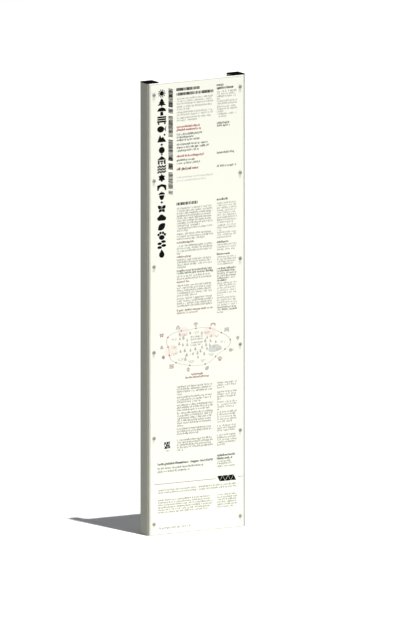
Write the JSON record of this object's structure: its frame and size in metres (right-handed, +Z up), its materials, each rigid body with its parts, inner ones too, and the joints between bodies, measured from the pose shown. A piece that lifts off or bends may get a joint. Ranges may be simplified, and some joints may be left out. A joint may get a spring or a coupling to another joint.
{
  "type": "park interpretation sign",
  "caption": "Tall narrow park notice: a thin printed board screwed to the fronts of two square grey posts with flat black end caps, open at the back.",
  "frame": {"origin": "on the ground, midway between the centre lines of the two posts", "axes": "+Z up along the posts, +X to the right as the board is read, -Y out of the front of the board"},
  "size_m": [0.5, 0.076, 2.034],
  "materials": {
    "post_paint": "fine-textured satin powder coat, aluminium grey",
    "cap_plastic": "fine-grained black moulding",
    "foot_steel": "grey powder coat over steel plate",
    "nut_steel": "zinc plated",
    "fastener_paint": "satin grey paint over stainless, in the colour of the posts",
    "board_core": "white compact board, sawn edges and smooth faces",
    "film_print": "satin cream film with printed marks"
  },
  "bodies": {
    "root": {"left_post": "post_paint", "right_post": "post_paint", "left_post_cap": "cap_plastic", "right_post_cap": "cap_plastic", "left_foot_plate": "foot_steel", "right_foot_plate": "foot_steel", "left_rivet_nuts": "nut_steel", "right_rivet_nuts": "nut_steel", "left_washers": "fastener_paint", "right_washers": "fastener_paint", "left_screws": "fastener_paint", "right_screws": "fastener_paint", "sign_board": "board_core", "print_film": "film_print"}
  },
  "joints": []
}
